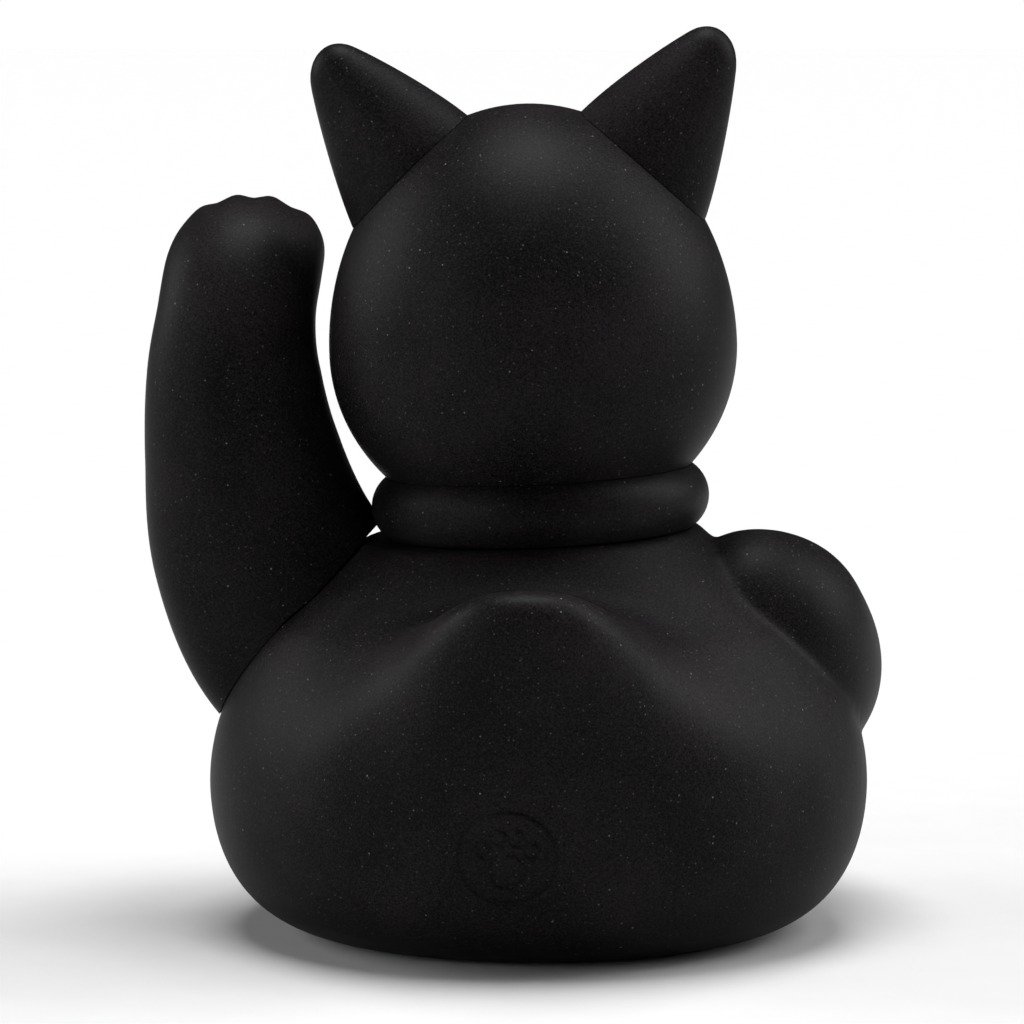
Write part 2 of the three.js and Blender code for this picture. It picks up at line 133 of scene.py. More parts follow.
# ------------------------------------------------------------------ meshes
def turned(outline, sides):
    """A solid turned about Z from (radius, height) points that start and end on the axis."""
    bm = bmesh.new()
    verts = [bm.verts.new((r, 0, z)) for r, z in outline]
    edges = [bm.edges.new(pair) for pair in zip(verts, verts[1:])]
    bmesh.ops.spin(
        bm, geom=verts + edges, cent=(0, 0, 0), axis=(0, 0, 1), angle=math.tau, steps=sides, use_merge=True
    )
    bmesh.ops.remove_doubles(bm, verts=bm.verts, dist=1e-4)
    bmesh.ops.recalc_face_normals(bm, faces=bm.faces)
    return bm


def ring(radius, wire, sides, steps):
    """A round ring about Z."""
    bm = bmesh.new()
    made = bmesh.ops.create_circle(bm, segments=sides, radius=wire)
    upright = Matrix.Translation((radius, 0, 0)) @ Matrix.Rotation(math.pi / 2, 4, "X")
    bmesh.ops.transform(bm, matrix=upright, verts=made["verts"])
    parts = bm.verts[:] + bm.edges[:]
    bmesh.ops.spin(
        bm, geom=parts, cent=(0, 0, 0), axis=(0, 0, 1), angle=math.tau, steps=steps, use_merge=True
    )
    bmesh.ops.recalc_face_normals(bm, faces=bm.faces)
    return bm


def rod(radius, low, high, sides=64):
    return turned(((0, low), (radius, low), (radius, high), (0, high)), sides)


def block(low, high):
    bm = bmesh.new()
    size = Vector(high) - Vector(low)
    place = Matrix.Translation((Vector(high) + Vector(low)) / 2) @ Matrix.Diagonal((*size, 1))
    bmesh.ops.create_cube(bm, size=1, matrix=place)
    return bm


def ball(radius, segments=48):
    bm = bmesh.new()
    bmesh.ops.create_uvsphere(bm, u_segments=segments, v_segments=segments // 2, radius=radius)
    return bm


def placed(bm, matrix):
    bmesh.ops.transform(bm, matrix=matrix, verts=bm.verts)
    bmesh.ops.recalc_face_normals(bm, faces=bm.faces)
    return bm


def reshaped(bm, move):
    for vert in bm.verts:
        vert.co = move(vert.co)
    return bm


def reshaped_mesh(piece, move):
    for vert in piece.data.vertices:
        vert.co = move(vert.co)


def new_object(bm, name):
    """A mesh object from a shape in millimetres."""
    bmesh.ops.scale(bm, vec=(MM, MM, MM), verts=bm.verts)
    mesh = bpy.data.meshes.new(name)
    bm.to_mesh(mesh)
    bm.free()
    piece = bpy.data.objects.new(name, mesh)
    bpy.context.scene.collection.objects.link(piece)
    return piece


def settle(piece):
    """Turns a piece's modifiers into its mesh."""
    bpy.context.view_layer.update()
    shaped = piece.evaluated_get(bpy.context.evaluated_depsgraph_get())
    mesh = bpy.data.meshes.new_from_object(shaped)
    piece.modifiers.clear()
    piece.data = mesh
    return piece


def combine(piece, operation, *tools):
    """Joins, cuts or keeps what is common, with shapes in millimetres or whole objects, which are used up."""
    for tool in tools:
        other = tool if isinstance(tool, bpy.types.Object) else new_object(tool, "tool")
        cut = piece.modifiers.new("cut", "BOOLEAN")
        cut.operation = operation
        cut.solver = "MANIFOLD"
        cut.object = other
        settle(piece)
        bpy.data.objects.remove(other)
    return piece


def join(piece, *tools):
    return combine(piece, "UNION", *tools)


def cut(piece, *tools):
    return combine(piece, "DIFFERENCE", *tools)


def keep(piece, *tools):
    return combine(piece, "INTERSECT", *tools)


def softened(piece, grain, passes):
    """One even skin over the whole solid, grain mm fine, with its creases and edges rounded."""
    skin = piece.modifiers.new("skin", "REMESH")
    skin.mode = "VOXEL"
    skin.voxel_size = grain * MM
    soft = piece.modifiers.new("soft", "SMOOTH")
    soft.factor = 0.5
    soft.iterations = passes
    return settle(piece)


def finish(piece, body, material, slot, *nodes, sharp=50):
    """Gives a piece its finish and fixes it to the CAD body and nodes that it stands for."""
    piece.data.materials.clear()
    piece.data.materials.append(material)
    piece.data.shade_smooth()
    piece.data.set_sharp_from_angle(angle=math.radians(sharp))
    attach(piece, body)
    if nodes:
        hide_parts(*nodes)
    return piece


# ------------------------------------------------------------------ frames of the neck, shoulder and ears
def joint_frame(joint):
    """Frame at a joint, with +Z along its axis."""
    axis = Vector(joint["axis"]).normalized()
    side = Vector((0, 1, 0)).cross(axis).normalized()
    turn = Matrix((side, axis.cross(side), axis)).transposed().to_4x4()
    return Matrix.Translation(Vector(joint["pos_m"]) / MM) @ turn


neck = joint_frame(JOINTS["head_turn"])
shoulder = joint_frame(JOINTS["arm_beckon"])


def ear_frame(side):
    mirror = Matrix.Diagonal((side, 1, 1, 1))
    turn = Matrix.Rotation(math.radians(EAR["rise"]), 4, "Y")
    aside = Matrix.Translation((EAR["aside"], 0, 0))
    return neck @ aside @ mirror @ Matrix.Translation(EAR["foot"]) @ turn


SLAB_HALF, SLAB_REACH = 80, 120  # half-width of a cutting slab, and how far it reaches up or down


def above_neck(height):
    return placed(block((-SLAB_HALF, -SLAB_HALF, height), (SLAB_HALF, SLAB_HALF, SLAB_REACH)), neck)


def below_neck(height):
    return placed(block((-SLAB_HALF, -SLAB_HALF, -SLAB_REACH), (SLAB_HALF, SLAB_HALF, height)), neck)


# ------------------------------------------------------------------ forms
def arc(points, steps):
    """Points on a Bezier curve, without its first."""
    a, b, c, d = (Vector(p) for p in points)
    made = []
    for i in range(1, steps + 1):
        t = i / steps
        s = 1 - t
        made.append(tuple(a * s**3 + b * 3 * s * s * t + c * 3 * s * t * t + d * t**3))
    return made


def body_outline(inset, steps):
    side = BODY_WIDTH / 2 - inset
    foot = (BASE_RADIUS - inset / 2, inset)
    waist = (side, 17.5)
    back = (31.6 - inset, 36.6 - inset / 3)
    top = (16 - inset, 50.9 - inset)
    outline = [(0, inset), (BASE_RADIUS / 2, inset), foot]
    outline += arc((foot, (32.6 - inset, 0.2 + inset), (side - 0.2, 5.8), waist), steps)
    outline += arc((waist, (side, 24), (side - 2.6, 30.6), back), steps)
    outline += arc((back, (27.6 - inset, 40.3 - inset / 3), (20.7 - inset, 46.6 - inset), top), steps)
    return outline + [(0, top[1])]


def breast_and_tail(p):
    """The breast stands forward of the turned shape, and the tail is drawn out backwards and up."""
    if p.y < 0:
        forward = 1 + BREAST["swell"] * bell_curve(p.z, BREAST["height"], BREAST["spread"])
        return Vector((p.x, p.y * forward, p.z))
    y = p.y * BACK_DEPTH
    moved = Vector((p.x, y, p.z))
    for rise in TAIL:
        share = smoothstep(y, rise["starts"], rise["full"])
        share *= math.exp(-(abs(p.x / rise["half_width"]) ** 3))
        share *= bell_curve(p.z, rise["height"], rise["spread"])
        moved += Vector((0, rise["back"], rise["up"])) * share
    return moved


def body_form(inset=0, sides=120, steps=20):
    return reshaped(turned(body_outline(inset, steps), sides), breast_and_tail)


def spline(points, t):
    """Point at t, from 0 to 1, on a smooth curve through the points."""
    last = len(points) - 1
    i = min(int(t * last), last - 1)
    w = t * last - i
    here, after = points[i], points[i + 1]
    before = points[i - 1] if i > 0 else here * 2 - after
    beyond = points[i + 2] if i + 2 <= last else after * 2 - here
    return 0.5 * (
        2 * here
        + (after - before) * w
        + (2 * before - 5 * here + 4 * after - beyond) * w**2
        + (3 * here - before - 3 * after + beyond) * w**3
    )


def limb(stations, side, segments=64, rings=96, grow=0, squareness=3):
    """A round-ended limb through the stations."""
    centres = [Vector(at) for at, wide, deep in stations]
    girths = [Vector((wide, deep, 0)) for at, wide, deep in stations]
    bm = bmesh.new()
    bmesh.ops.create_uvsphere(bm, u_segments=segments, v_segments=rings, radius=1)

    def move(p):
        along = (1 - min(max(p.z, -1), 1)) / 2
        around = math.atan2(p.y, p.x)
        round_off = (1 - min(abs(p.z), 1) ** squareness) ** (1 / squareness)
        step = 1e-4
        start = max(along - step, 0)
        tangent = (spline(centres, min(along + step, 1)) - spline(centres, start)).normalized()
        across = (side - tangent * side.dot(tangent)).normalized()
        out = across.cross(tangent).normalized()
        half = spline(girths, along)
        return (
            spline(centres, along)
            + across * (math.cos(around) * (half.x + grow) * round_off)
            + out * (math.sin(around) * (half.y + grow) * round_off)
        )

    reshaped(bm, move)
    bmesh.ops.recalc_face_normals(bm, faces=bm.faces)
    return bm


def muzzle_rise(x, z):
    total = 0
    for pad in MUZZLE:
        away = math.hypot(x - pad["x"], z - pad["z"])
        total += pad["rise"] * bell_curve(away, 0, pad["spread"])
    return smoothstep(z, *MUZZLE_FADE) * total


def with_muzzle(p):
    return p if p.y > 0 else Vector((p.x, p.y - muzzle_rise(p.x, p.z), p.z))


def head_form(inset=0, grow=0, sides=120, steps=96, face=True):
    """The egg-shaped head, in its place on the neck."""
    wide, above, below = (HEAD[key] - inset + grow for key in ("half_width", "above", "below"))
    outline = []
    for i in range(steps + 1):
        angle = -math.pi / 2 + math.pi * i / steps
        up = math.sin(angle)
        outline.append((abs(wide * math.cos(angle)), HEAD["widest"] + (above if up > 0 else below) * up))
    outline[0] = (0, outline[0][1])
    outline[-1] = (0, outline[-1][1])
    form = turned(outline, sides)
    if face:
        reshaped(form, with_muzzle)
    return placed(form, neck)


def on_face(x, z):
    """Point on the front of the head, from its place across and up the neck's axis."""
    up = z - HEAD["widest"]
    tall = HEAD["above"] if up > 0 else HEAD["below"]
    radius = HEAD["half_width"] * math.sqrt(max(1 - (up / tall) ** 2, 0))
    y = -math.sqrt(max(radius**2 - x**2, 0))
    return neck @ Vector((x, y - muzzle_rise(x, z), z))


def collar_form(grow=0):
    tube = COLLAR["tube"] + grow
    return placed(ring(COLLAR["ring"], tube, 48, 144), neck @ Matrix.Translation((0, 0, COLLAR["height"])))


# ------------------------------------------------------------------ materials
def linear(code):
    """An sRGB hex colour as linear values."""
    values = []
    for i in (0, 2, 4):
        c = int(code[i : i + 2], 16) / 255
        values.append(c / 12.92 if c <= 0.04045 else ((c + 0.055) / 1.055) ** 2.4)
    return (*values, 1)


def add(tree, kind, inputs=None, **settings):
    """Adds a node with its settings, and sets or links its inputs."""
    node = tree.nodes.new(kind)
    for key, value in settings.items():
        setattr(node, key, value)
    for key, value in (inputs or {}).items():
        if isinstance(value, bpy.types.NodeSocket):
            tree.links.new(value, node.inputs[key])
        else:
            node.inputs[key].default_value = value
    return node


def new_material(name):
    material = bpy.data.materials.new(name)
    material.use_nodes = True
    tree = material.node_tree
    tree.nodes.clear()
    surface = add(tree, "ShaderNodeBsdfPrincipled")
    add(tree, "ShaderNodeOutputMaterial", {"Surface": surface.outputs[0]})
    where = add(tree, "ShaderNodeTexCoord").outputs["Object"]
    return material, tree, surface, where


def dust(tree, where, colour, cell_mm, share, size, tint):
    """Specks of dust over a colour: one in each cell of a random pattern, in a share of the cells."""
    cells = add(tree, "ShaderNodeTexVoronoi", {"Vector": where, "Scale": 1 / (cell_mm * MM)})
    near = add(
        tree,
        "ShaderNodeMapRange",
        {
            "Value": cells.outputs["Distance"],
            "From Min": 0.5 * size / cell_mm,
            "From Max": size / cell_mm,
            "To Min": 1,
            "To Max": 0,
        },
    )
    chance = add(tree, "ShaderNodeSeparateColor", {"Color": cells.outputs["Color"]})
    strength = add(
        tree,
        "ShaderNodeMapRange",
        {"Value": chance.outputs["Red"], "From Min": 1 - share, "From Max": 1, "To Min": 0, "To Max": 1},
    )
    speck = add(tree, "ShaderNodeMath", {0: near.outputs[0], 1: strength.outputs[0]}, operation="MULTIPLY")
    return add(
        tree, "ShaderNodeMix", {"Factor": speck.outputs[0], 6: colour, 7: linear(tint)}, data_type="RGBA"
    ).outputs[2]


def soft_touch_vinyl():
    """Rotation-cast PVC under a matt rubbery lacquer: near black, finely pebbled, and it holds pale dust."""
    grain_mm = 0.24  # the lacquer's pebble is half this size, too fine to show
    cloud_mm = 14
    material, tree, surface, where = new_material("black soft-touch vinyl")
    cloud = add(tree, "ShaderNodeTexNoise", {"Vector": where, "Scale": 1 / (cloud_mm * MM), "Detail": 3})
    grain = add(tree, "ShaderNodeTexNoise", {"Vector": where, "Scale": 1 / (grain_mm * MM), "Detail": 2})
    mottle = add(
        tree, "ShaderNodeMix", {"Factor": 0.65, 2: cloud.outputs["Fac"], 3: grain.outputs["Fac"]},
        data_type="FLOAT",
    )
    tone = add(tree, "ShaderNodeValToRGB", {"Fac": mottle.outputs[0]})
    tone.color_ramp.elements[0].position = 0.4
    tone.color_ramp.elements[0].color = linear("080708")
    tone.color_ramp.elements[1].position = 0.66
    tone.color_ramp.elements[1].color = linear("1f1c1e")
    colour = dust(tree, where, tone.outputs["Color"], cell_mm=0.7, share=0.7, size=0.12, tint="454342")
    colour = dust(tree, where, colour, cell_mm=1.3, share=0.35, size=0.13, tint="6c6a68")
    bump = add(
        tree, "ShaderNodeBump", {"Height": grain.outputs["Fac"], "Strength": 0.5, "Distance": 0.03 * MM}
    )
    gloss = add(
        tree, "ShaderNodeMapRange", {"Value": cloud.outputs["Fac"], "To Min": 0.46, "To Max": 0.54}
    )
    tree.links.new(colour, surface.inputs["Base Color"])
    tree.links.new(gloss.outputs[0], surface.inputs["Roughness"])
    tree.links.new(bump.outputs[0], surface.inputs["Normal"])
    surface.inputs["Specular IOR Level"].default_value = 0.05
    return material


def gold_paint():
    """Mask-sprayed gold paint on vinyl: fine metal flake in a satin binder, a little uneven."""
    flake_mm = 0.12
    material, tree, surface, where = new_material("sprayed gold paint")
    flake = add(tree, "ShaderNodeTexNoise", {"Vector": where, "Scale": 1 / (flake_mm * MM), "Detail": 2})
    tone = add(tree, "ShaderNodeValToRGB", {"Fac": flake.outputs["Fac"]})
    tone.color_ramp.elements[0].position = 0.35
    tone.color_ramp.elements[0].color = linear("9a7434")
    tone.color_ramp.elements[1].position = 0.65
    tone.color_ramp.elements[1].color = linear("c9a35a")
    bump = add(
        tree, "ShaderNodeBump", {"Height": flake.outputs["Fac"], "Strength": 0.3, "Distance": 0.02 * MM}
    )
    tree.links.new(tone.outputs["Color"], surface.inputs["Base Color"])
    tree.links.new(bump.outputs[0], surface.inputs["Normal"])
    surface.inputs["Metallic"].default_value = 0.85
    surface.inputs["Roughness"].default_value = 0.38
    return material


def lacquered_brass():
    """Pressed brass under clear lacquer: bright, with faint handling marks."""
    scuff_mm = 1.6
    material, tree, surface, where = new_material("lacquered brass")
    scuff = add(tree, "ShaderNodeTexNoise", {"Vector": where, "Scale": 1 / (scuff_mm * MM), "Detail": 6})
    gloss = add(tree, "ShaderNodeMapRange", {"Value": scuff.outputs["Fac"], "To Min": 0.16, "To Max": 0.36})
    tone = add(tree, "ShaderNodeValToRGB", {"Fac": scuff.outputs["Fac"]})
    tone.color_ramp.elements[0].color = linear("b48a3c")
    tone.color_ramp.elements[1].color = linear("e0bd6e")
    tree.links.new(tone.outputs["Color"], surface.inputs["Base Color"])
    tree.links.new(gloss.outputs[0], surface.inputs["Roughness"])
    surface.inputs["Metallic"].default_value = 1
    return material


def zinc_plated_steel():
    """Turned steel with dull zinc plating: grey, with a soft mottle of crystals."""
    crystal_mm = 1.2
    material, tree, surface, where = new_material("zinc-plated steel")
    crystal = add(tree, "ShaderNodeTexVoronoi", {"Vector": where, "Scale": 1 / (crystal_mm * MM)})
    shades = {"Value": crystal.outputs["Distance"], "To Min": 0.35, "To Max": 0.5}
    gloss = add(tree, "ShaderNodeMapRange", shades)
    surface.inputs["Base Color"].default_value = linear("8d9094")
    tree.links.new(gloss.outputs[0], surface.inputs["Roughness"])
    surface.inputs["Metallic"].default_value = 1
    return material


def moulded_nylon():
    """Injection-moulded nylon, dark grey, with the fine matt of a spark-eroded mould."""
    spark_mm = 0.15
    material, tree, surface, where = new_material("moulded nylon")
    spark = add(tree, "ShaderNodeTexNoise", {"Vector": where, "Scale": 1 / (spark_mm * MM), "Detail": 2})
    bump = add(
        tree, "ShaderNodeBump", {"Height": spark.outputs["Fac"], "Strength": 0.4, "Distance": 0.02 * MM}
    )
    surface.inputs["Base Color"].default_value = linear("2a2a2c")
    surface.inputs["Roughness"].default_value = 0.5
    tree.links.new(bump.outputs[0], surface.inputs["Normal"])
    return material


VINYL = soft_touch_vinyl()
GOLD = gold_paint()
BRASS = lacquered_brass()
STEEL = zinc_plated_steel()
NYLON = moulded_nylon()


# ------------------------------------------------------------------ body casting
PLUG_HOLE = 12
COIN_LOW, COIN_HIGH = (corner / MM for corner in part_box("coin"))
COIN = {"wide": 7, "high": 9.4, "thick": 2.4, "face": 0.82, "rim": 0.5, "reach": 30}


def coin_column(grow=0, scale=1):
    """Oval column along Y through the coin."""
    column = rod(1, 0, 1, 96)
    middle = (COIN_LOW + COIN_HIGH) / 2
    size = ((COIN["wide"] + grow) * scale, (COIN["high"] + grow) * scale, COIN["reach"])
    turn = Matrix.Translation((middle.x, -COIN["reach"], middle.z)) @ Matrix.Rotation(math.pi / 2, 4, "X")
    return placed(column, turn @ Matrix.Diagonal((*size, 1)))


MARK = {"x": 2, "z": 14.6, "radius": 5.6, "line": 0.34, "depth": 0.3}  # a paw print in a ring, on the back
PAD = (0, -1.5, 2.0)
TOES = ((-2.7, 1.0, 0.85), (-1.0, 2.5, 0.9), (1.0, 2.5, 0.9), (2.7, 1.0, 0.85))


def in_mark(p, margin=1):
    x, z = p.x / MM - MARK["x"], p.z / MM - MARK["z"]
    return p.y > 0 and math.hypot(x, z) < MARK["radius"] + margin


def engraved(p):
    if not in_mark(p):
        return p
    x, z = p.x / MM - MARK["x"], p.z / MM - MARK["z"]
    edges = [abs(math.hypot(x, z) - MARK["radius"])]
    edges += [abs(math.hypot(x - px, z - pz) - radius) for px, pz, radius in (PAD, *TOES)]
    depth = MARK["depth"] * max(bell_curve(edge, 0, MARK["line"]) for edge in edges)
    return Vector((p.x, p.y - depth * MM, p.z))


def refined(piece, wanted, cuts):
    """Divides the faces that lie where the mark goes, and leaves the others as they are."""
    bm = bmesh.new()
    bm.from_mesh(piece.data)
    faces = [face for face in bm.faces if all(wanted(vert.co) for vert in face.verts)]
    edges = list({edge for face in faces for edge in face.edges})
    bmesh.ops.subdivide_edges(bm, edges=edges, cuts=cuts, use_grid_fill=True, smooth=1)
    bmesh.ops.triangulate(bm, faces=[face for face in bm.faces if len(face.verts) > 4])
    bm.to_mesh(piece.data)
    bm.free()


def body_casting():
    piece = new_object(body_form(), "body_casting")
    arm = new_object(limb(LOWERED_ARM, UPWARD), "arm")
    room = keep(new_object(coin_column(SEAM * 2), "room"), body_form(-SEAM * 3 - COIN["thick"]))
    cut(arm, room)
    join(piece, arm)
    cut(piece, above_neck(0))
    softened(piece, 0.6, 8)
    join(piece, placed(rod(NECK["boss"], -1, NECK["boss_height"]), neck))
    hollow = cut(new_object(body_form(WALL, 48, 8), "hollow"), above_neck(-WALL))
    cut(
        piece,
        hollow,
        rod(PLUG_HOLE, -5, 6, 96),
        placed(rod(NECK["hole"], -10, 5), neck),
        placed(rod(SHOULDER_HOLE, -9, 6), shoulder),
    )
    refined(piece, in_mark, 3)
    for vert in piece.data.vertices:
        vert.co = engraved(vert.co)
    return finish(piece, "body", VINYL, "black_vinyl", "body_shell")


# ------------------------------------------------------------------ head casting and ears
def head_casting():
    piece = cut(new_object(head_form(sides=160), "head_casting"), below_neck(HEAD["seat"]))
    hollow = cut(new_object(head_form(WALL, sides=48, steps=32), "hollow"), below_neck(HEAD["seat"] + WALL))
    cut(
        piece,
        hollow,
        placed(rod(NECK["hole"], -3, 10), neck),
        placed(rod(EAR_HOLE, -9, 6, 48), ear_frame(1)),
        placed(rod(EAR_HOLE, -9, 6, 48), ear_frame(-1)),
    )
    return finish(piece, "head", VINYL, "black_vinyl", "head_shell")


def ear_form(shrink=0, steps=24, sides=72):
    base, height = EAR["half_base"] - shrink, EAR["height"] - shrink
    outline = [(0, -EAR["below"]), (base + 0.3, -EAR["below"]), (base, 0)]
    outline += arc(((base, 0), (base - 1.2, 5), (5.2 - shrink, 12.5), (3.9 - shrink, 15)), steps)
    tip = ((3.9 - shrink, 15), (2.9 - shrink, 17.3 - shrink), (1.4, height), (0, height))
    outline += arc(tip, steps // 2)

    def leaf(p):
        thick = EAR["thick"] + EAR["thicker"] * p.z / height
        return Vector((p.x - EAR["lean"] * max(p.z, 0), p.y * thick, p.z))

    return reshaped(turned(outline, sides), leaf)


def ear_dish(grow=0):
    size = Matrix.Diagonal((*(half + grow for half in EAR_DISH["size"]), 1))
    return placed(ball(1, 96), Matrix.Translation(EAR_DISH["at"]) @ size)


def ear(side, name):
    """An ear with its root and button, and the gold lining sprayed into its dish."""
    place = ear_frame(side)
    button_top = EAR_ROOT["button_thick"] - EAR_ROOT["depth"]
    piece = new_object(placed(ear_form(), place), f"{name}_casting")
    cut(piece, placed(ear_dish(), place))
    softened(piece, 0.34, 5)
    cut(piece, head_form(0, SEAM, sides=160, face=False))
    join(
        piece,
        placed(rod(EAR_ROOT["radius"], 0.5 - EAR_ROOT["depth"], 5, 48), place),
        placed(rod(EAR_ROOT["button"], -EAR_ROOT["depth"], button_top, 48), place),
    )
    cut(piece, placed(ear_dish(0.05), place))
    finish(piece, "head", VINYL, "black_vinyl", name)
    lining = new_object(placed(ear_dish(0.02), place), f"{name}_lining")
    cut(lining, placed(ear_dish(-0.16), place), head_form(0, 0.5, face=False))
    keep(lining, placed(ear_form(EAR["rim"]), place))
    return finish(lining, "head", GOLD, "gilt_plastic")


# ------------------------------------------------------------------ collar
BELL_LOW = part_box("bell")[0] / MM
BELL = {"radius": 4.6, "wall": 0.6, "loop": 1.2, "loop_wire": 0.45, "loop_sunk": 0.2, "ring_wire": 0.4}
BELL_SLOT = {"width": 1, "half_length": 0.82, "hole": 0.95, "hole_turn": 52}  # length: share of the radius
BELL_SEAM = {"sunk": 0.12, "wire": 0.26, "above_middle": 0.6}  # rolled edge where the bell's halves meet
LUG = {"ring": 1.5, "wire": 0.55}
lug_at = Vector(JOINTS["bell_swing"]["pos_m"]) / MM
bell_at = Vector((lug_at.x, BELL_LOW.y + BELL["radius"], BELL_LOW.z + BELL["radius"]))


def collar():
    piece = new_object(collar_form(), "collar_ring")
    upright = Matrix.Rotation(math.pi / 2, 4, "Y")
    join(piece, placed(ring(LUG["ring"], LUG["wire"], 24, 64), Matrix.Translation(lug_at) @ upright))
    cut(
        piece,
        head_form(0, SEAM, sides=160, face=False),
        below_neck(SEAM),
        placed(rod(NECK["boss"] + COLLAR["over_boss"], -3, 12), neck),
    )
    return finish(piece, "body", VINYL, "black_vinyl", "collar")


# ------------------------------------------------------------------ raised arm
TOE_RIDGES = (27.9, 32.6, 36.9, 41.2)  # places across the raised paw
TOE = {"rise": 0.6, "spread": 1.5, "starts": -3, "full": -12}
KNUCKLES = Vector((0, -12, 72))  # the middle that the toes swell away from


def toes(p):
    """The toes swell along the raised paw, from the bend of the wrist to the paw's end."""
    x, y, z = p / MM
    reach = smoothstep(-y, -TOE["starts"], -TOE["full"]) * smoothstep(z, 66, 72)
    if reach == 0:
        return p
    rise = TOE["rise"] * reach * (max(bell_curve(x, ridge, TOE["spread"]) for ridge in TOE_RIDGES) - 0.5)
    away = Vector((0, y, z)) - KNUCKLES
    return p + away.normalized() * rise * MM


def raised_arm():
    piece = new_object(limb(RAISED_ARM, SIDEWAYS, 128, 192), "raised_arm_casting")
    reshaped_mesh(piece, toes)
    hollow = new_object(limb(RAISED_ARM[:HOLLOW_STATIONS], SIDEWAYS, 24, 24, -WALL), "hollow")
    cut(piece, cut(hollow, body_form(-SEAM - WALL - SKIRT)))
    for degrees in (-SWING, 0, SWING):
        turn = shoulder @ Matrix.Rotation(math.radians(degrees), 4, "Z") @ shoulder.inverted()
        cut(piece, placed(body_form(-SEAM), turn), placed(collar_form(SEAM), turn))
    cut(piece, head_form(0, HEAD_ROOM, face=False), placed(rod(SHOULDER_HOLE, -2, 9), shoulder))
    return finish(piece, "arm", VINYL, "black_vinyl", "raised_arm")


# ------------------------------------------------------------------ bell, coin and plug
to_bell = bell_at - lug_at
bell_frame = Matrix.Translation(bell_at) @ Matrix.Rotation(math.atan2(to_bell.y, -to_bell.z), 4, "X")
loop_height = BELL["radius"] + BELL["loop"] - BELL["loop_sunk"]


def bell():
    radius = BELL["radius"]
    piece = new_object(placed(ball(radius, 96), bell_frame), "jingle_bell")
    upright = Matrix.Rotation(math.pi / 2, 4, "Y")
    loop = ring(BELL["loop"], BELL["loop_wire"], 16, 48)
    seam = ring(radius - BELL_SEAM["sunk"], BELL_SEAM["wire"], 16, 128)
    join(
        piece,
        placed(loop, bell_frame @ Matrix.Translation((0, 0, loop_height)) @ upright),
        placed(seam, bell_frame @ Matrix.Translation((0, 0, BELL_SEAM["above_middle"]))),
    )
    half_slot, half_length = BELL_SLOT["width"] / 2, radius * BELL_SLOT["half_length"]
    slot = block((-half_length, -half_slot, -2 * radius), (half_length, half_slot, -0.5 * radius))
    cut(piece, placed(ball(radius - BELL["wall"], 64), bell_frame), placed(slot, bell_frame))
    for end in (-1, 1):
        tilt = Matrix.Rotation(end * math.radians(BELL_SLOT["hole_turn"]), 4, "Y")
        cut(piece, placed(rod(BELL_SLOT["hole"], -2 * radius, -1, 32), bell_frame @ tilt))
    return finish(piece, "bell", BRASS, "bell_brass", "bell", sharp=30)


def bell_ring():
    radius = (to_bell.length - loop_height) / 2
    centre = Matrix.Translation((0, 0, loop_height + radius))
    place = bell_frame @ centre @ Matrix.Rotation(math.pi / 2, 4, "X")
    piece = new_object(placed(ring(radius, BELL["ring_wire"], 16, 64), place), "bell_split_ring")
    return finish(piece, "bell", BRASS, "bell_brass", "bell_ring")


def coin():
    outer = -SEAM * 2 - COIN["thick"]
    piece = keep(new_object(coin_column(), "gilt_coin"), body_form(outer))
    face = cut(new_object(coin_column(0, COIN["face"]), "face"), body_form(outer + COIN["rim"]))
    cut(piece, face)
    softened(piece, 0.2, 4)
    cut(piece, body_form(-SEAM))
    return finish(piece, "body", GOLD, "gilt_plastic", "coin")


def base_plug():
    outline = (
        (0, 0.5), (8.6, 0.5), (9, 0.1), (9.4, 0), (11.3, 0), (11.6, 0.12), (11.7, 0.4), (11.7, 2.5),
        (13.6, 2.5), (13.6, 3.7), (11.4, 3.7), (11.4, 9.4), (10, 9.4), (10, 2.4), (0, 2.4),
    )
    piece = new_object(turned(outline, 96), "vinyl_base_plug")
    return finish(piece, "body", VINYL, "black_vinyl", "base_plug", sharp=35)


# ------------------------------------------------------------------ painted face
def stroke(name, path, width):
    """A rounded line of paint along a path on the head, thinner towards its ends."""
    curve = bpy.data.curves.new(name, "CURVE")
    curve.dimensions = "3D"
    curve.bevel_depth = width / 2 * MM
    curve.bevel_resolution = 4
    curve.use_fill_caps = True
    line = curve.splines.new("POLY")
    count = 32
    points = [Vector(p) for p in path]
    line.points.add(count - 1)
    for i, point in enumerate(line.points):
        t = i / (count - 1)
        at = spline(points, t) * MM
        point.co = (*at, 1)
        point.radius = 0.25 + 0.75 * math.sin(math.pi * t) ** 0.5
    drawn = bpy.data.objects.new(name, curve)
    bpy.context.scene.collection.objects.link(drawn)
    shaped = drawn.evaluated_get(bpy.context.evaluated_depsgraph_get())
    mesh = bpy.data.meshes.new_from_object(shaped)
    bpy.data.objects.remove(drawn)
    piece = bpy.data.objects.new(name, mesh)
    bpy.context.scene.collection.objects.link(piece)
    return finish(piece, "head", GOLD, "gilt_plastic")


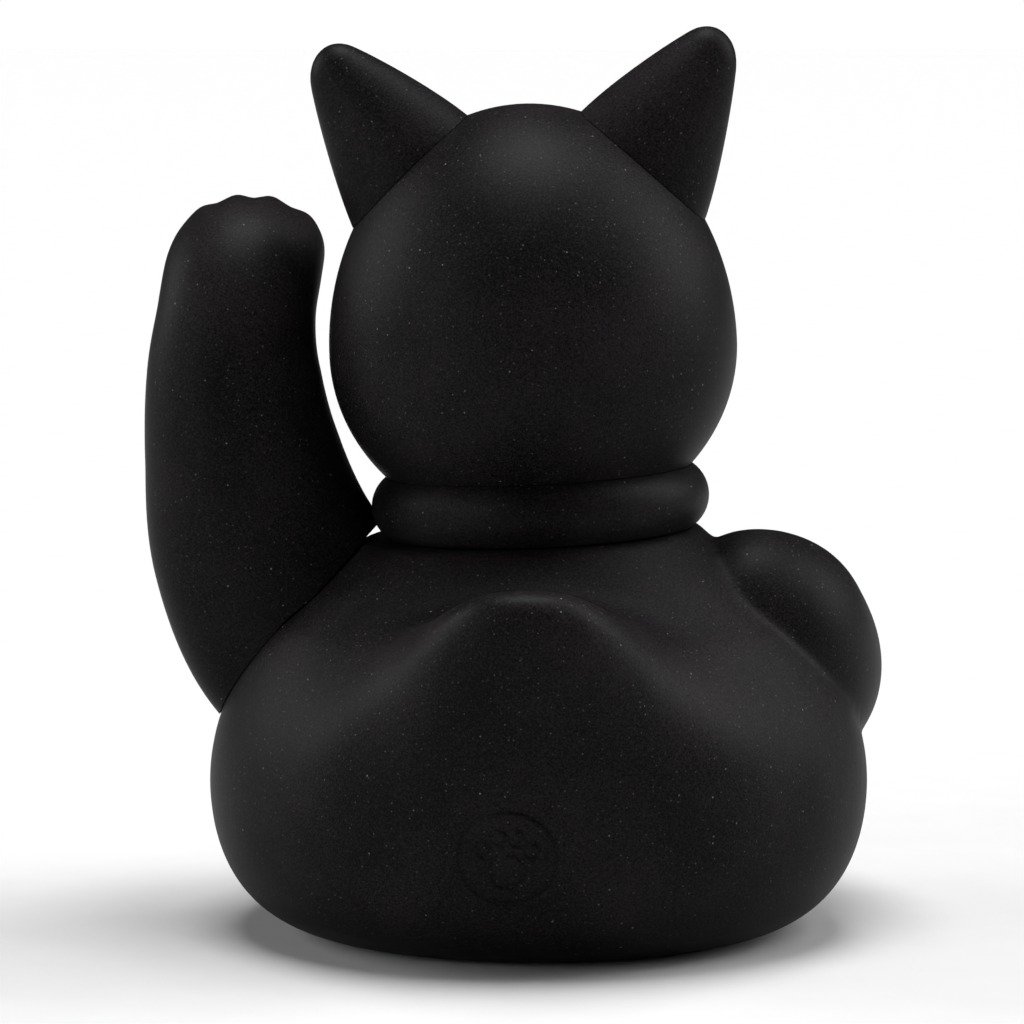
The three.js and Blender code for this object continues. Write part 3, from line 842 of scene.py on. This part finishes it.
def nose():
    """A small rounded triangle of gold paint."""
    outline = [(math.radians(90 + 120 * i), 2.1) for i in range(3)]
    bm = bmesh.new()
    corners = [bm.verts.new((r * math.cos(a) * 1.15, 0, -r * math.sin(a))) for a, r in outline]
    face = bm.faces.new(corners)
    bmesh.ops.bevel(bm, geom=corners, offset=1.1, affect="VERTICES", segments=8, profile=0.5, material=-1)
    made = bmesh.ops.extrude_face_region(bm, geom=bm.faces[:])
    moved = [part for part in made["geom"] if isinstance(part, bmesh.types.BMVert)]
    bmesh.ops.translate(bm, vec=(0, 30, 0), verts=moved)
    bmesh.ops.recalc_face_normals(bm, faces=bm.faces)
    piece = new_object(placed(bm, neck @ Matrix.Translation((0, -40, 18.4))), "nose")
    keep(piece, head_form(0, 0.25, sides=160, steps=160))
    cut(piece, head_form(0, 0.02, sides=160, steps=160))
    return finish(piece, "head", GOLD, "gilt_plastic")


# Places across and up the face that the painted lines pass through, and the lines' widths.
EYE_LINE = ((5.2, 25.2), (7, 27.4), (9.4, 28.3), (11.8, 27.5), (13.6, 25.3))
WHISKERS = (((11, 18.4), (18.2, 19.8)), ((11.4, 16.2), (18.6, 15.9)), ((11, 14), (17.6, 12.2)))
LIP_LINE = ((0, 15.2), (1.6, 13.8), (3.6, 13.7), (5, 14.8))
EYE_WIDTH, WHISKER_WIDTH, LIP_WIDTH = 1.0, 0.5, 0.6


def face():
    nose()
    for side, name in ((1, "left"), (-1, "right")):
        stroke(f"{name}_eye_line", [on_face(side * x, z) for x, z in EYE_LINE], EYE_WIDTH)
        for i, (start, end) in enumerate(WHISKERS):
            middle = tuple((a + b) / 2 for a, b in zip(start, end))
            path = [on_face(side * x, z) for x, z in (start, middle, end)]
            stroke(f"{name}_whisker_{i + 1}", path, WHISKER_WIDTH)
        stroke(f"{name}_lip_line", [on_face(side * x, z) for x, z in LIP_LINE], LIP_WIDTH)


# ------------------------------------------------------------------ assembly
body_casting()
head_casting()
ear(1, "left_ear")
ear(-1, "right_ear")
collar()
raised_arm()
bell()
bell_ring()
coin()
base_plug()
face()
for node, material in (
    ("neck_joint", NYLON),
    ("shoulder_joint", NYLON),
    ("weight_retainer", NYLON),
    ("ballast_weight", STEEL),
    ("bell_pellet", STEEL),
):
    frame["nodes"][node].data.materials.clear()
    frame["nodes"][node].data.materials.append(material)


# ------------------------------------------------------------------ floor, light and camera
FLOOR_RADIUS = 6000
# Each light's name, the direction that it comes from, its apparent width in degrees, and its strength.
LIGHTS = (
    ("overhead softbox", (0, -0.07, 1), 35, 3.8),
    ("upper right softbox", (-0.66, -0.1, 0.74), 35, 1.5),
    ("left softbox", (0.9, -0.24, 0.36), 33, 1.5),
    ("right softbox", (-0.9, -0.24, 0.36), 33, 1.5),
    ("left reflector", (0.76, 0.58, 0.29), 30, 0.85),
)


def studio():
    bm = bmesh.new()
    bmesh.ops.create_circle(bm, cap_ends=True, segments=96, radius=FLOOR_RADIUS)
    floor = new_object(bm, "floor")
    paper, tree, surface, where = new_material("pale paper")
    fibre = add(tree, "ShaderNodeTexNoise", {"Vector": where, "Scale": 1 / (8 * MM), "Detail": 3})
    tone = add(tree, "ShaderNodeMapRange", {"Value": fibre.outputs["Fac"], "To Min": 0.49, "To Max": 0.52})
    tree.links.new(tone.outputs[0], surface.inputs["Base Color"])
    surface.inputs["Roughness"].default_value = 0.9
    surface.inputs["Specular IOR Level"].default_value = 0.1
    floor.data.materials.append(paper)
    world = bpy.data.worlds.new("white room")
    world.use_nodes = True
    tree = world.node_tree
    tree.nodes.clear()
    seen = add(tree, "ShaderNodeLightPath").outputs["Is Camera Ray"]
    level = add(tree, "ShaderNodeMapRange", {"Value": seen, "To Min": 0.03, "To Max": 1})
    white = add(tree, "ShaderNodeBackground", {"Color": (1, 1, 1, 1), "Strength": level.outputs[0]})
    add(tree, "ShaderNodeOutputWorld", {"Surface": white.outputs[0]})
    bpy.context.scene.world = world
    for name, direction, width, strength in LIGHTS:
        light = bpy.data.lights.new(name, "SUN")
        light.angle = math.radians(width)
        light.energy = strength
        lamp = bpy.data.objects.new(name, light)
        lamp.location = Vector(direction)
        lamp.rotation_euler = Vector(direction).to_track_quat("Z", "Y").to_euler()
        bpy.context.scene.collection.objects.link(lamp)


def camera():
    target = Vector((0, 0, 52)) * MM
    azimuth, elevation, distance = math.radians(182), math.radians(6), 600 * MM
    back = Vector(
        (
            math.sin(azimuth) * math.cos(elevation),
            -math.cos(azimuth) * math.cos(elevation),
            math.sin(elevation),
        )
    )
    data = bpy.data.cameras.new("camera")
    data.sensor_width = 36
    data.lens = 177.2
    data.shift_x = -0.0259
    data.shift_y = -0.0193
    data.clip_start = 0.02
    data.clip_end = 50
    view = bpy.data.objects.new("camera", data)
    view.location = target + back * distance
    view.rotation_mode = "QUATERNION"
    view.rotation_quaternion = (-back).to_track_quat("-Z", "Y")
    bpy.context.scene.collection.objects.link(view)
    bpy.context.scene.camera = view


studio()
camera()
bpy.context.scene.view_settings.view_transform = "Standard"
